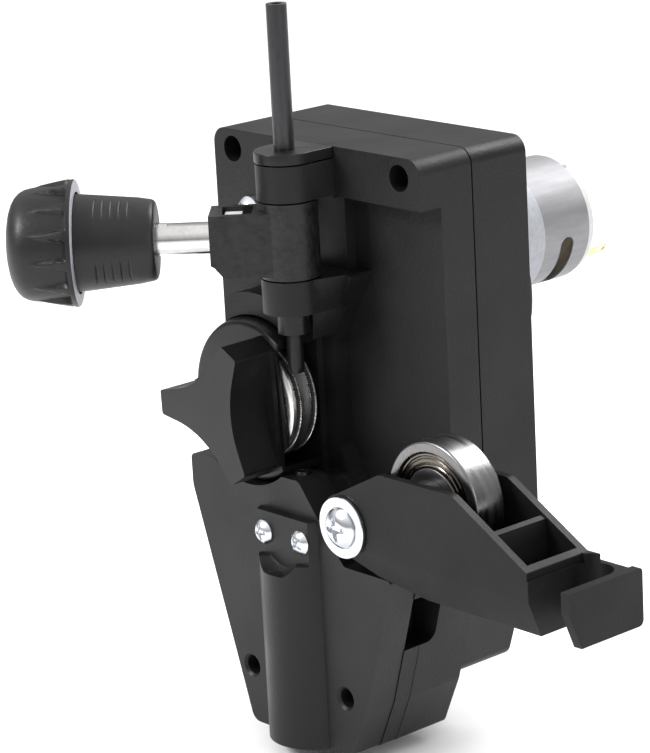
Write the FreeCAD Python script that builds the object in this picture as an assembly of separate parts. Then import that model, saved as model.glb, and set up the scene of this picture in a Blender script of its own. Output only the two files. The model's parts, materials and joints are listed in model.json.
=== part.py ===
import FreeCAD, Part
import math
import os

from FreeCAD import Vector

# Wire feeder of a MIG welder: a motor and gearbox drive a grooved roll, and a swing-open arm presses
# the wire onto it. Millimetres. The wire runs down the Z axis and leaves through the torch socket,
# whose mouth in the bottom face is the origin. +X is to the right and -Y is the front.

# ---- driving dimensions -------------------------------------------------------------------------
HALF_WIDTH = 37.0            # gearbox housing
TOP_Z = 148.7
FRONT_Y = 8.9                # upper front face
RECESS_Y = 15.5              # floor of the recess that the arm swings in
KNUCKLE_FLOOR_Y = 12.6       # shallower step behind the hinge knuckle
SPINE_X = 6.4                # right edge of that step
ISLAND_Y = 10.8              # face of the island between the roll and the recess
SEAM = 0.4                   # width and depth of the groove along the shells' joint
PARTING_Y = 25.8             # joint between the two shells
BACK_Y = 43.9
PLATEAU = 3.6                # raised round face under the motor
WALL = 2.4
BLOCK_FRONT_Y = -5.2         # outlet block, bolted on below the roll
BLOCK_BACK_Y = 3.8
LEDGE_Z = 49.3               # top of the outlet block under the arm
REAR_BOTTOM_Z = 13.7

UPPER_HOLE_X, UPPER_HOLE_Z, UPPER_HOLE_R = 30.0, 143.7, 3.25
LOWER_HOLE_X, LOWER_HOLE_Z, LOWER_HOLE_R = 17.5, 14.9, 2.4

BOSS_R = 7.3                 # hinge bosses and knuckle about the wire line
BOSS_TOP = (136.9, TOP_Z)
BOSS_LOW = (109.2, 117.5)
KNUCKLE = (117.9, 136.5)
CAP_PLATE = 3.0

ROLL_R, ROLL_WIDTH, ROLL_FRONT_Y = 15.0, 8.5, -2.3
GROOVE_DEPTH = 0.5
ROLL_X, ROLL_Z = -14.7, 84.5
GUARD_R = 20.6
STAR_R = 18.4

BEARING_R, BEARING_BORE_R, BEARING_WIDTH, BEARING_FRONT_Y = 15.0, 5.0, 9.0, -2.6
PIVOT_X, PIVOT_Z = 24.6, 61.6
BEARING_U, BEARING_V = 24.25, 9.15        # from the pivot, arm open
ARM_FRONT_Y, ARM_BACK_Y, ARM_PLATE = -8.9, 11.2, 2.0
SLOT_U, SLOT_WIDTH = 66.3, 10.2
ARM_END_U = 73.8
ARM_BOTTOM_V = -13.9

SHAFT_Z, SHAFT_R = 127.9, 4.0
SHAFT_ANGLE = -134.0         # direction of the opened tension screw about +Z
SPINDLE_R = 3.0              # threaded end, M6
BRACKET_END = 18.7
SLEEVE_START, SLEEVE_END = 31.7, 52.2
KNOB_START, KNOB_END = 50.7, 67.8
KNOB_R = 15.4

MOTOR_X, MOTOR_Z = 0.2, 115.8
MOTOR_R, MOTOR_BACK_Y = 16.1, 86.4
MODULE_FAST, MODULE_SLOW = 0.8, 1.0
PINION_TEETH, WHEEL_TEETH, SMALL_TEETH, OUTPUT_TEETH = 12, 48, 14, 36

SOCKET_R, SOCKET_BORE_R, SOCKET_BASE_Z, SOCKET_TOP_Z = 6.3, 5.0, 2.5, 58.0
COLUMN_R, PAD_Y = 11.84, -7.4
PAD_TOP_Z, PAD_BOTTOM_Z = 58.8, 47.6
CLAMP_SCREW_X, CLAMP_SCREW_Z = 6.75, 53.4

TUBE_R, TUBE_SEAT_R, TUBE_SHOULDER_Z, TUBE_TOP_Z = 2.5, 2.3, 149.0, 183.6

FIT = 0.05                   # running clearance
PRESSURE_ANGLE = math.radians(25)


def third_corner(x0, z0, distance0, x1, z1, distance1):
    """The point at given distances from two others, on the right of the line between them."""
    span = math.hypot(x1 - x0, z1 - z0)
    along = (distance0 ** 2 - distance1 ** 2 + span ** 2) / (2 * span)
    across = math.sqrt(distance0 ** 2 - along ** 2)
    u, v = (x1 - x0) / span, (z1 - z0) / span
    return x0 + along * u + across * v, z0 + along * v - across * u


# the intermediate axle stands where both gear pairs mesh
FAST_DISTANCE = (PINION_TEETH + WHEEL_TEETH) * MODULE_FAST / 2
SLOW_DISTANCE = (SMALL_TEETH + OUTPUT_TEETH) * MODULE_SLOW / 2
AXLE_X, AXLE_Z = third_corner(ROLL_X, ROLL_Z, SLOW_DISTANCE, MOTOR_X, MOTOR_Z, FAST_DISTANCE)


# ---- shape helpers ------------------------------------------------------------------------------
def box(x0, x1, y0, y1, z0, z1):
    return Part.makeBox(x1 - x0, y1 - y0, z1 - z0, Vector(x0, y0, z0))


def rod(x, y, z, direction, radius, length):
    return Part.makeCylinder(radius, length, Vector(x, y, z), Vector(*direction))


def along_y(x, z, radius, y0, y1):
    return rod(x, y0, z, (0, 1, 0), radius, y1 - y0)


def along_z(x, y, radius, z0, z1):
    return rod(x, y, z0, (0, 0, 1), radius, z1 - z0)


def tube_y(x, z, outer, inner, y0, y1):
    return along_y(x, z, outer, y0, y1).cut(along_y(x, z, inner, y0 - 1, y1 + 1))


def tube_z(x, y, outer, inner, z0, z1):
    return along_z(x, y, outer, z0, z1).cut(along_z(x, y, inner, z0 - 1, z1 + 1))


def join(shapes):
    whole = shapes[0]
    for shape in shapes[1:]:
        whole = whole.fuse(shape)
    return whole.removeSplitter()


def outline(corners, place):
    """A closed wire through (u, v, radius) corners, each rounded by a tangent arc of its radius."""
    count = len(corners)
    ends = []
    for i, (u, v, radius) in enumerate(corners):
        here = Vector(u, v, 0)
        before = (Vector(*corners[i - 1][:2], 0) - here).normalize()
        after = (Vector(*corners[(i + 1) % count][:2], 0) - here).normalize()
        half = before.getAngle(after) / 2
        if radius <= 0 or abs(half - math.pi / 2) < 1e-4:
            ends.append((here, None, here))
            continue
        reach = radius / math.tan(half)
        middle = here + (before + after).normalize() * (radius / math.sin(half) - radius)
        ends.append((here + before * reach, middle, here + after * reach))
    edges = []
    for i, (start, middle, finish) in enumerate(ends):
        if middle is not None:
            edges.append(Part.Arc(place(start), place(middle), place(finish)).toShape())
        following = ends[(i + 1) % count][0]
        if (following - finish).Length > 1e-6:
            edges.append(Part.LineSegment(place(finish), place(following)).toShape())
    return Part.Wire(edges)


def plate_y(corners, y0, y1):
    wire = outline(corners, lambda p: Vector(p.x, y0, p.y))
    return Part.Face(wire).extrude(Vector(0, y1 - y0, 0))


def plate_z(corners, z0, z1):
    wire = outline(corners, lambda p: Vector(p.x, p.y, z0))
    return Part.Face(wire).extrude(Vector(0, 0, z1 - z0))


def plate_x(corners, x0, x1):
    wire = outline(corners, lambda p: Vector(x0, p.x, p.y))
    return Part.Face(wire).extrude(Vector(x1 - x0, 0, 0))


def between(low, z0, high, z1):
    """A solid whose section changes from one polygon at z0 to another at z1."""
    sections = [[Vector(x, y, z) for x, y in ring + ring[:1]] for ring, z in ((low, z0), (high, z1))]
    return Part.makeLoft([Part.makePolygon(points) for points in sections], True, True)


def turned(profile, origin, direction):
    """A solid of revolution. profile is (distance along the axis, radius) points."""
    points = [Vector(radius, 0, along) for along, radius in profile]
    wire = Part.makePolygon(points + [points[0]])
    solid = Part.Face(wire).revolve(Vector(0, 0, 0), Vector(0, 0, 1), 360)
    turn = FreeCAD.Rotation(Vector(0, 0, 1), Vector(*direction))
    solid.Placement = FreeCAD.Placement(Vector(*origin), turn)
    return solid


def pan_screw(x, y, z, direction, head_r, head_h, shank_r, length):
    """A pan-head screw whose head sits on (x, y, z) and whose shank runs against direction."""
    crown = head_h * 0.55
    profile = [(-length, 0), (-length, shank_r), (0, shank_r), (0, head_r)]
    profile += [(head_h - crown, head_r), (head_h - crown * 0.35, head_r * 0.86), (head_h, head_r * 0.5)]
    profile += [(head_h, 0)]
    return turned(profile, (x, y, z), direction)


def gear(x, z, teeth, module, y0, y1, bore_r, tooth_angle):
    """A spur gear about an axis along Y, with one tooth centred on tooth_angle in the XZ plane."""
    pitch_r = teeth * module / 2
    base_r = pitch_r * math.cos(PRESSURE_ANGLE)
    tip_r = pitch_r + 0.8 * module
    root_r = pitch_r - 1.1 * module
    backlash = 0.07

    def involute(radius):
        angle = math.acos(min(1.0, base_r / radius))
        return math.tan(angle) - angle

    half_at_pitch = math.pi / (2 * teeth) - backlash / pitch_r
    start = max(root_r, base_r)
    steps = [start + (tip_r - start) * k / 3 for k in range(4)]
    flank = [(r, half_at_pitch + involute(pitch_r) - involute(r)) for r in steps]
    flank = [(root_r, flank[0][1])] * (root_r < base_r - 1e-6) + flank
    points = []
    for tooth in range(teeth):
        middle = tooth_angle + 2 * math.pi * tooth / teeth
        for radius, half in flank:
            points.append((radius, middle - half))
        for radius, half in reversed(flank):
            points.append((radius, middle + half))
    ring = [Vector(x + r * math.cos(a), y0, z + r * math.sin(a)) for r, a in points]
    solid = Part.Face(Part.makePolygon(ring + [ring[0]])).extrude(Vector(0, y1 - y0, 0))
    return solid.cut(along_y(x, z, bore_r, y0 - 1, y1 + 1))


def helix_spring(radius, wire_r, start, length, turns, origin, direction):
    """A round-wire compression spring, from one end to the other along direction."""
    pitch = length / turns
    path = Part.makeHelix(pitch, length, radius)
    section = Part.Wire([Part.makeCircle(wire_r, Vector(radius, 0, 0), Vector(0, radius, pitch / 6.3))])
    solid = Part.Wire(path.Edges).makePipeShell([section], True, True)
    turn = FreeCAD.Rotation(Vector(0, 0, 1), Vector(*direction))
    shift = Vector(*origin) + Vector(*direction) * start
    solid.Placement = FreeCAD.Placement(shift, turn)
    return solid


# ---- housing outlines ---------------------------------------------------------------------------
def shell_outline(inset, bottom_z, top_z):
    """The housing seen from the front: straight sides, tapered in below the arm."""
    side = HALF_WIDTH - inset
    round_r = 4.0 - max(0.0, min(inset, 2.5))
    low = max(0.0, bottom_z - 1.0)
    slope = 0.32
    left_low = -20.2 + inset - slope * (low - 0.0)
    corners = [(-side, top_z - inset, round_r), (side, top_z - inset, round_r), (side, 51.0, 3.0)]
    if bottom_z < 5:
        corners += [(25.5 - inset, 13.4, 6.0), (19.4 - inset, bottom_z + inset, 2.0)]
        corners += [(-18.2 + inset, bottom_z + inset, 3.0)]
    else:
        corners += [(24.4 - inset, bottom_z + inset, 4.0), (left_low, bottom_z + inset, 4.0)]
    corners += [(-side, 59.2, 8.0)]
    return corners


def block_top():
    """Corners of the outlet block's upper edge, from left to right."""
    return [(-36.6, 67.4, 1.5), (4.3, 67.9, 2.0), (15.5, 53.6, 1.5), (19.6, LEDGE_Z, 1.5)]


def block_outline():
    sides = [(36.1, LEDGE_Z, 0.8), (25.15, 13.4, 6.0), (19.05, 0.1, 2.0), (-17.9, 0.1, 3.0), (-36.6, 59.2, 8.0)]
    return block_top() + sides


def recess_outline():
    """The arm's recess, open through the right side."""
    out = HALF_WIDTH + 5
    top = BOSS_LOW[1]
    return [(SPINE_X, 136.5, 1.0), (out, 136.5, 0), (out, LEDGE_Z, 0), (19.6, LEDGE_Z, 1.0), (14.8, 53.6, 2.0),
            (7.4, 64.9, 2.0), (1.9, 72.0, 3.0), (1.6, 98.6, 4.0), (11.9, top, 1.0), (SPINE_X, top, 0)]


# ---- housing ------------------------------------------------------------------------------------
def hinge_boss(z0, z1):
    return along_z(0, 0, BOSS_R, z0, z1).fuse(box(-BOSS_R, BOSS_R, 0, FRONT_Y + 1, z0, z1))


def seam_groove(bottom_z):
    outer = plate_y(shell_outline(-1.0, bottom_z, TOP_Z), PARTING_Y - SEAM / 2, PARTING_Y + SEAM / 2)
    return outer.cut(plate_y(shell_outline(SEAM, bottom_z, TOP_Z), PARTING_Y - 1, PARTING_Y + 1))


def front_shell():
    body = plate_y(shell_outline(0, 0.0, TOP_Z), FRONT_Y, PARTING_Y)
    guard_seat = along_y(ROLL_X, ROLL_Z, GUARD_R + 0.4, -30, FRONT_Y)
    lower = [(-36.9, 66.0, 1.5), (4.6, 66.0, 2.0), (15.2, 52.6, 1.5), (19.6, LEDGE_Z, 1.5),
             (36.4, LEDGE_Z, 1.0), (25.4, 13.4, 6.0), (19.3, 0.05, 2.0), (-18.1, 0.05, 3.0), (-36.9, 59.2, 8.0)]
    hood = tube_y(ROLL_X, ROLL_Z, 26.6, GUARD_R + 0.4, 0, FRONT_Y + 1)
    hood = hood.common(plate_y([(-26.0, 100.0, 0), (-2.6, 100.0, 0), (-2.6, 116.0, 0), (-26.0, 116.0, 2.5)],
                               -1, FRONT_Y + 1))
    # a buttress carries the lower boss's surface back to the corner of the island, over a thinner web
    deep = RECESS_Y + 0.5
    buttress = between([(0, 1.0), (7.2, 1.0), (6.3, 11.5), (7.1, deep), (0, deep)], BOSS_LOW[0],
                       [(0, 1.0), (7.2, 1.0), (10.4, 11.5), (11.7, deep), (0, deep)], BOSS_LOW[1])
    web = between([(1.0, 3.6), (2.7, 3.6), (2.5, 11.5), (2.9, deep), (1.0, deep)], 101.5,
                  [(1.0, 3.6), (3.0, 3.6), (6.2, 11.5), (7.0, deep), (1.0, deep)], 109.3)
    body = join([body, plate_y(lower, BLOCK_BACK_Y, FRONT_Y + 1).cut(guard_seat),
                 hinge_boss(BOSS_TOP[0], TOP_Z - CAP_PLATE), hinge_boss(*BOSS_LOW), hood])
    body = body.cut(plate_y(recess_outline(), -20, RECESS_Y))
    body = body.cut(box(-BOSS_R - 1.2, SPINE_X + 0.05, FRONT_Y - 9, KNUCKLE_FLOOR_Y, BOSS_LOW[1], BOSS_TOP[0]))
    body = body.cut(box(-2.4, 15, FRONT_Y - 9, ISLAND_Y, 66.2, BOSS_LOW[0] - 0.1))
    body = join([body, buttress, web])
    body = body.cut(plate_y(shell_outline(WALL, LEDGE_Z - 2.0, TOP_Z), RECESS_Y + WALL, PARTING_Y + 1))
    gear_room = [(-34.4, 64.0, 2.0), (-4.8, 64.0, 2.0), (-4.8, 112.0, 2.0), (-34.4, 112.0, 2.0)]
    body = body.cut(plate_y(gear_room, FRONT_Y + WALL, PARTING_Y + 1))
    pocket = [(-20.4, 45.0, 2.0), (20.4, 45.0, 2.0), (20.4, 23.0, 2.0), (-20.4, 23.0, 2.0)]
    body = body.cut(plate_y(pocket, POCKET_Y, PARTING_Y + 1))
    side_window = plate_x([(BLOCK_BACK_Y - 1, 42.0, 0), (13.3, 42.0, 0.8), (13.6, 28.0, 2.6),
                           (BLOCK_BACK_Y - 1, 27.7, 0)], 22.6, 45.0)
    body = body.cut(side_window).cut(seam_groove(0.0))
    # the two screw tubes at the top, then every hole
    tubes = [along_y(s * UPPER_HOLE_X, UPPER_HOLE_Z, UPPER_HOLE_R + 1.7, FRONT_Y + 1, PARTING_Y)
             for s in (-1, 1)]
    output_boss = along_y(ROLL_X, ROLL_Z, 10.0, FRONT_Y, FRONT_Y + 8.6)
    frame_limit = plate_y(shell_outline(0, 0.0, TOP_Z), 0, PARTING_Y)
    body = join([body, output_boss] + [tube.common(frame_limit) for tube in tubes])
    cuts = [along_y(s * UPPER_HOLE_X, UPPER_HOLE_Z, UPPER_HOLE_R, 0, 60) for s in (-1, 1)]
    cuts += [along_y(s * LOWER_HOLE_X, LOWER_HOLE_Z, LOWER_HOLE_R, -10, 60) for s in (-1, 1)]
    cuts += [along_z(0, 0, 4.0, 100, TOP_Z + 1), along_z(0, 0, 2.3, 50, 70)]
    cuts += [along_z(0, 0, SOCKET_R + 0.1, SOCKET_BASE_Z, SOCKET_TOP_Z + 0.1)]
    cuts += [along_z(0, 0, SOCKET_BORE_R, -1, 10)]
    cuts += [along_y(ROLL_X, ROLL_Z, 8.0, 0, 60)]
    cuts += [along_y(AXLE_X, AXLE_Z, 2.0, RECESS_Y + WALL - 1.0, 60)]
    cuts += [along_y(PIVOT_X, PIVOT_Z, 3.0, 0, PARTING_Y + 1)]
    cuts += [along_y(x, z, 1.55, PARTING_Y - 9, PARTING_Y + 1) for x, z in SHELL_SCREWS]
    cuts += [along_y(x, z, 1.55, BLOCK_BACK_Y - 1, POCKET_Y + 1) for x, z in BLOCK_SCREWS]
    cuts += [along_y(COVER_SCREW[0], COVER_SCREW[1], 1.55, 0, FRONT_Y + 8)]
    screw_posts = [along_y(x, z, 3.6, RECESS_Y if x > 0 else FRONT_Y + 1, PARTING_Y) for x, z in SHELL_SCREWS]
    body = join([body] + [post.common(frame_limit) for post in screw_posts])
    for cut in cuts:
        body = body.cut(cut)
    return body


SHELL_SCREWS = [(-30.5, 128.0), (30.5, 128.0), (-30.0, 66.0), (30.0, 66.0)]
BLOCK_SCREWS = [(-16.5, 36.0), (16.5, 36.0)]
POCKET_Y = 11.5
COVER_SCREW = (-24.5, 128.6)


def rear_shell():
    body = plate_y(shell_outline(0, REAR_BOTTOM_Z, TOP_Z), PARTING_Y, BACK_Y)
    body = body.cut(plate_y(shell_outline(WALL, REAR_BOTTOM_Z, TOP_Z), PARTING_Y - 1, BACK_Y - WALL))
    frame_limit = plate_y(shell_outline(0, REAR_BOTTOM_Z, TOP_Z), PARTING_Y, BACK_Y)
    posts = [along_y(s * UPPER_HOLE_X, UPPER_HOLE_Z, UPPER_HOLE_R + 1.7, PARTING_Y, BACK_Y) for s in (-1, 1)]
    posts += [along_y(x, z, 3.6, PARTING_Y, BACK_Y) for x, z in SHELL_SCREWS]
    posts += [along_y(s * LOWER_HOLE_X, LOWER_HOLE_Z, 5.8, PARTING_Y, BACK_Y) for s in (-1, 1)]
    bosses = [along_y(ROLL_X, ROLL_Z, 8.5, BACK_Y - 7.5, BACK_Y + 2.4),
              along_y(AXLE_X, AXLE_Z, 4.5, BACK_Y - 7.0, BACK_Y)]
    back_boss = Part.makeCone(26.0, 25.0, PLATEAU, Vector(9.0, BACK_Y, 108.0), Vector(0, 1, 0))
    body = join([body, back_boss] + bosses + [post.common(frame_limit) for post in posts])
    cuts = [along_y(s * UPPER_HOLE_X, UPPER_HOLE_Z, UPPER_HOLE_R, 0, 60) for s in (-1, 1)]
    cuts += [along_y(s * LOWER_HOLE_X, LOWER_HOLE_Z, LOWER_HOLE_R + 1.6, 0, 60) for s in (-1, 1)]
    cuts += [along_y(MOTOR_X, MOTOR_Z, 6.6, 0, 60), along_y(MOTOR_X, MOTOR_Z, MOTOR_R + 1.1, BACK_Y - 1.0, 60)]
    cuts += [along_y(MOTOR_X + s * 12.5, MOTOR_Z, 1.6, 0, 60) for s in (-1, 1)]
    cuts += [along_y(ROLL_X, ROLL_Z, 5.5, 0, BACK_Y - 0.6)]
    cuts += [along_y(AXLE_X, AXLE_Z, 2.0, 0, BACK_Y - 1.0)]
    for x, z in SHELL_SCREWS:
        cuts += [along_y(x, z, 1.7, 0, 60), along_y(x, z, 3.1, BACK_Y - 3.0, 60)]
    for cut in cuts:
        body = body.cut(cut)
    return body.cut(seam_groove(REAR_BOTTOM_Z))


def outlet_block():
    body = plate_y(block_outline(), BLOCK_FRONT_Y, BLOCK_BACK_Y)
    column = along_z(0, 0, COLUMN_R, 0, PAD_TOP_Z).cut(box(-20, 20, -1, 20, -1, 70))
    above_pad = box(-20, 20, -20, PAD_Y, PAD_BOTTOM_Z, PAD_TOP_Z)
    above_scoop = box(-20, 20, -20, PAD_Y, PAD_BOTTOM_Z - 3, PAD_BOTTOM_Z + 1)
    # the column's top is scooped out below the pad
    scoop = Part.makeSphere(9.0, Vector(0, PAD_Y - 5.6, PAD_BOTTOM_Z + 5.2)).common(above_scoop)
    body = join([body, column.cut(above_pad).cut(scoop)])
    body = body.cut(along_y(ROLL_X, ROLL_Z, GUARD_R + 0.4, -30, BLOCK_BACK_Y + 1))
    body = body.cut(along_z(0, 0, SOCKET_R, SOCKET_BASE_Z, SOCKET_TOP_Z))
    body = body.cut(along_z(0, 0, SOCKET_BORE_R, -1, 10)).cut(along_z(0, 0, 2.2, 50, 75))
    for side in (-1, 1):
        body = body.cut(along_y(side * LOWER_HOLE_X, LOWER_HOLE_Z, LOWER_HOLE_R, -20, 20))
        rim = Part.makeCone(LOWER_HOLE_R + 0.7, LOWER_HOLE_R, 0.7,
                            Vector(side * LOWER_HOLE_X, BLOCK_FRONT_Y, LOWER_HOLE_Z), Vector(0, 1, 0))
        body = body.cut(rim)
        body = body.cut(along_y(side * CLAMP_SCREW_X, CLAMP_SCREW_Z, 1.55, -20, 0))
    for x, z in BLOCK_SCREWS:
        body = body.cut(along_y(x, z, 1.55, BLOCK_FRONT_Y + 2.3, 20))
    return body


def hinge_cap():
    bottom = TOP_Z - CAP_PLATE + 0.3
    plate = along_z(0, 0, BOSS_R + 0.15, bottom, TOP_Z).fuse(box(-BOSS_R, BOSS_R, 0, FRONT_Y, bottom, TOP_Z))
    return plate.removeSplitter().cut(along_z(0, 0, TUBE_SEAT_R, 100, 200))


def roll_guard():
    """A one-sided cup over the left of the roll, open to the right where the arm's bearing comes in."""
    front = ROLL_FRONT_Y - 1.4
    profile = [(0.0, 0.0), (0.0, 19.0), (0.5, 19.9), (1.6, 20.4), (3.3, GUARD_R), (12.55, GUARD_R)]
    profile += [(12.55, 18.9), (1.1, 18.9), (1.1, 0.0)]
    cup = turned(profile, (ROLL_X, front, ROLL_Z), (0, 1, 0))
    cup = cup.cut(along_y(ROLL_X, ROLL_Z, 9.0, -20, 20))
    mouth = [(-3.6, 99.2, 0), (20, 99.2, 0), (20, 40, 0), (-0.2, 40, 0), (-0.2, 66.0, 0)]
    cup = cup.cut(plate_y(mouth, -20, 20))
    cup = cup.cut(box(-3.2, 20, -20, 20, 40, 75)).cut(box(-2.9, 20, -20, 20, 99, 120))
    foot_limit = along_y(ROLL_X, ROLL_Z, GUARD_R, front, FRONT_Y - 0.02)
    return cup.common(foot_limit)


# ---- wire path ----------------------------------------------------------------------------------
def hinge_pin():
    return tube_z(0, 0, 4.0, TUBE_SEAT_R + 0.05, 103.6, TOP_Z - CAP_PLATE + 0.2)


def inlet_tube():
    seated = tube_z(0, 0, TUBE_SEAT_R, 1.3, 112.0, TUBE_SHOULDER_Z)
    return seated.fuse(tube_z(0, 0, TUBE_R, 1.3, TUBE_SHOULDER_Z, TUBE_TOP_Z))


def guide_nozzle():
    profile = [(93.6, 0.7), (93.6, 1.7), (95.0, 2.0), (103.4, 2.0), (103.4, TUBE_SEAT_R), (111.9, TUBE_SEAT_R),
               (111.9, 0.7)]
    return turned(profile, (0, 0, 0), (0, 0, 1))


def outlet_guide():
    profile = [(SOCKET_TOP_Z, 0.8), (SOCKET_TOP_Z, 2.2), (67.2, 2.2), (68.6, 1.7), (68.6, 0.8)]
    return turned(profile, (0, 0, 0), (0, 0, 1))


def torch_socket():
    body = tube_z(0, 0, SOCKET_R, SOCKET_BORE_R, SOCKET_BASE_Z, SOCKET_TOP_Z - 1.5)
    body = body.fuse(tube_z(0, 0, SOCKET_R, 1.0, SOCKET_TOP_Z - 1.5, SOCKET_TOP_Z))
    for side in (-1, 1):
        body = body.cut(along_y(side * CLAMP_SCREW_X, CLAMP_SCREW_Z, 1.6, -20, 0))
    return body


def clamp_screws():
    heads = []
    for side in (-1, 1):
        heads.append(pan_screw(side * CLAMP_SCREW_X, PAD_Y, CLAMP_SCREW_Z, (0, -1, 0), 3.0, 1.9, 1.5, 4.0))
    return Part.makeCompound(heads)


def cover_screw():
    return pan_screw(COVER_SCREW[0], FRONT_Y, COVER_SCREW[1], (0, -1, 0), 4.0, 2.9, 1.5, 7.0)


def shell_screws():
    return Part.makeCompound([pan_screw(x, BACK_Y - 3.0, z, (0, 1, 0), 2.9, 1.9, 1.5, 22.0)
                              for x, z in SHELL_SCREWS])


def block_screws():
    return Part.makeCompound([pan_screw(x, POCKET_Y, z, (0, 1, 0), 2.9, 1.9, 1.5, 14.0)
                              for x, z in BLOCK_SCREWS])


# ---- pressure arm -------------------------------------------------------------------------------
def in_arm(corners):
    return [(PIVOT_X + u, PIVOT_Z + v, r) for u, v, r in corners]


def arm_outline():
    return in_arm([(-2.6, 7.6, 0), (12.9, 15.5, 3.0), (37.4, 15.5, 3.0), (60.9, 2.0, 0.5),
                   (60.9, ARM_BOTTOM_V, 0), (24.0, ARM_BOTTOM_V, 10.0), (8.8, -11.2, 6.0), (0.6, -8.0, 0)])


def pressure_arm():
    end_x = PIVOT_X + ARM_END_U
    slot_x = PIVOT_X + SLOT_U
    bottom = PIVOT_Z + ARM_BOTTOM_V
    body = plate_y(arm_outline(), ARM_FRONT_Y, ARM_BACK_Y)
    body = body.fuse(along_y(PIVOT_X, PIVOT_Z, 8.1, ARM_FRONT_Y, ARM_BACK_Y))
    inner_front, inner_back = ARM_FRONT_Y + ARM_PLATE, ARM_BACK_Y - ARM_PLATE
    tray = in_arm([(8.6, 20, 0), (59.2, 20, 0), (59.2, -4.6, 1.5), (30.0, -4.6, 0), (8.6, -4.6, 4.0)])
    tray = plate_y(tray, inner_front, inner_back)
    rib = plate_y(in_arm([(48.4, 8.6, 0), (49.6, 8.0, 0), (49.6, -8, 0), (48.4, -8, 0)]), inner_front,
                  inner_back)
    body = body.cut(tray).fuse(rib)
    bearing_room = along_y(PIVOT_X + BEARING_U, PIVOT_Z + BEARING_V, BEARING_R + 1.0,
                           BEARING_FRONT_Y - 0.6, BEARING_FRONT_Y + BEARING_WIDTH + 0.6)
    body = body.cut(bearing_room)
    # end block with the slot that takes the tension screw, and the thumb plate outside it
    block = box(PIVOT_X + 60.0, end_x, ARM_FRONT_Y, 13.0, bottom, PIVOT_Z)
    thumb = plate_x([(ARM_FRONT_Y, PIVOT_Z, 1.0), (15.1, PIVOT_Z, 1.0), (15.1, bottom, 1.5),
                     (ARM_FRONT_Y, bottom, 1.5)], end_x - 2.4, end_x)
    tab = box(PIVOT_X + 59.5, PIVOT_X + 64.6, 9.0, 11.2, PIVOT_Z - 1, PIVOT_Z + 2.2)
    body = join([body, block, thumb, tab])
    slot_end_y = 6.4
    slot = box(slot_x - SLOT_WIDTH / 2, slot_x + SLOT_WIDTH / 2, -20, slot_end_y, bottom - 5, PIVOT_Z + 5)
    slot = slot.fuse(along_z(slot_x, slot_end_y, SLOT_WIDTH / 2, bottom - 5, PIVOT_Z + 5))
    body = body.cut(slot)
    # the lower front edge is bevelled back
    bevel = Part.makePolygon([Vector(0, -20, PIVOT_Z - 5.0), Vector(0, ARM_FRONT_Y, PIVOT_Z - 5.0),
                              Vector(0, -5.2, bottom), Vector(0, -5.2, bottom - 5),
                              Vector(0, -20, bottom - 5), Vector(0, -20, PIVOT_Z - 5.0)])
    bevel = Part.Face(bevel).extrude(Vector(200, 0, 0))
    bevel.translate(Vector(PIVOT_X - 12.0, 0, 0))
    body = body.cut(bevel)
    body = body.cut(along_y(PIVOT_X, PIVOT_Z, 4.0 + FIT, -20, 30))
    body = body.cut(along_y(PIVOT_X + BEARING_U, PIVOT_Z + BEARING_V, 3.0, inner_front - 1, inner_back + 1))
    return body.removeSplitter()


def pivot_bush():
    return tube_y(PIVOT_X, PIVOT_Z, 4.0, 2.55, ARM_FRONT_Y - 0.15, RECESS_Y)


def pivot_screw():
    front = ARM_FRONT_Y - 0.15
    profile = [(0, 7.6), (0.8, 7.6), (1.1, 7.2), (1.1, 4.6), (2.6, 3.9), (3.1, 2.4), (3.1, 0)]
    profile = [(-32.0, 0), (-32.0, 2.5), (0, 2.5)] + profile
    return turned(profile, (PIVOT_X, front, PIVOT_Z), (0, -1, 0))


def bearing_place():
    return PIVOT_X + BEARING_U, PIVOT_Z + BEARING_V


def bearing_axle():
    x, z = bearing_place()
    return along_y(x, z, 2.95, ARM_FRONT_Y + ARM_PLATE - 1, ARM_BACK_Y - ARM_PLATE + 1)


def bearing_spacers():
    x, z = bearing_place()
    back = BEARING_FRONT_Y + BEARING_WIDTH
    centre = tube_y(x, z, 4.95, 2.97, BEARING_FRONT_Y, back)
    front = tube_y(x, z, 5.9, 2.97, ARM_FRONT_Y + ARM_PLATE, BEARING_FRONT_Y)
    rear = tube_y(x, z, 5.9, 2.97, back, ARM_BACK_Y - ARM_PLATE)
    return join([front, centre, rear])


def ring_profile(inner, outer, groove_r, groove_depth, outward):
    """Half section of a bearing ring with a shallow square race."""
    half = BEARING_WIDTH / 2
    race = (outer - groove_depth) if outward else (inner + groove_depth)
    if outward:
        edge = [(half, outer), (half + groove_r, outer), (half + groove_r, race), (half - groove_r, race),
                (half - groove_r, outer), (0, outer)]
        return [(0, inner), (BEARING_WIDTH, inner), (BEARING_WIDTH, outer)] + edge[1:]
    return [(0, inner), (half - groove_r, inner), (half - groove_r, race), (half + groove_r, race),
            (half + groove_r, inner), (BEARING_WIDTH, inner), (BEARING_WIDTH, outer), (0, outer)]


def bearing_inner_ring():
    x, z = bearing_place()
    profile = ring_profile(BEARING_BORE_R, 8.6, 1.8, 0.9, True)
    return turned(profile, (x, BEARING_FRONT_Y, z), (0, 1, 0))


def bearing_outer_ring():
    x, z = bearing_place()
    profile = ring_profile(12.0, BEARING_R, 1.8, 0.7, False)
    return turned(profile, (x, BEARING_FRONT_Y, z), (0, 1, 0))


def bearing_shields():
    x, z = bearing_place()
    y = BEARING_FRONT_Y
    return Part.makeCompound([tube_y(x, z, 12.0, 8.9, y + 0.5, y + 0.9),
                              tube_y(x, z, 12.0, 8.9, y + BEARING_WIDTH - 0.9, y + BEARING_WIDTH - 0.5)])


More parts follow.
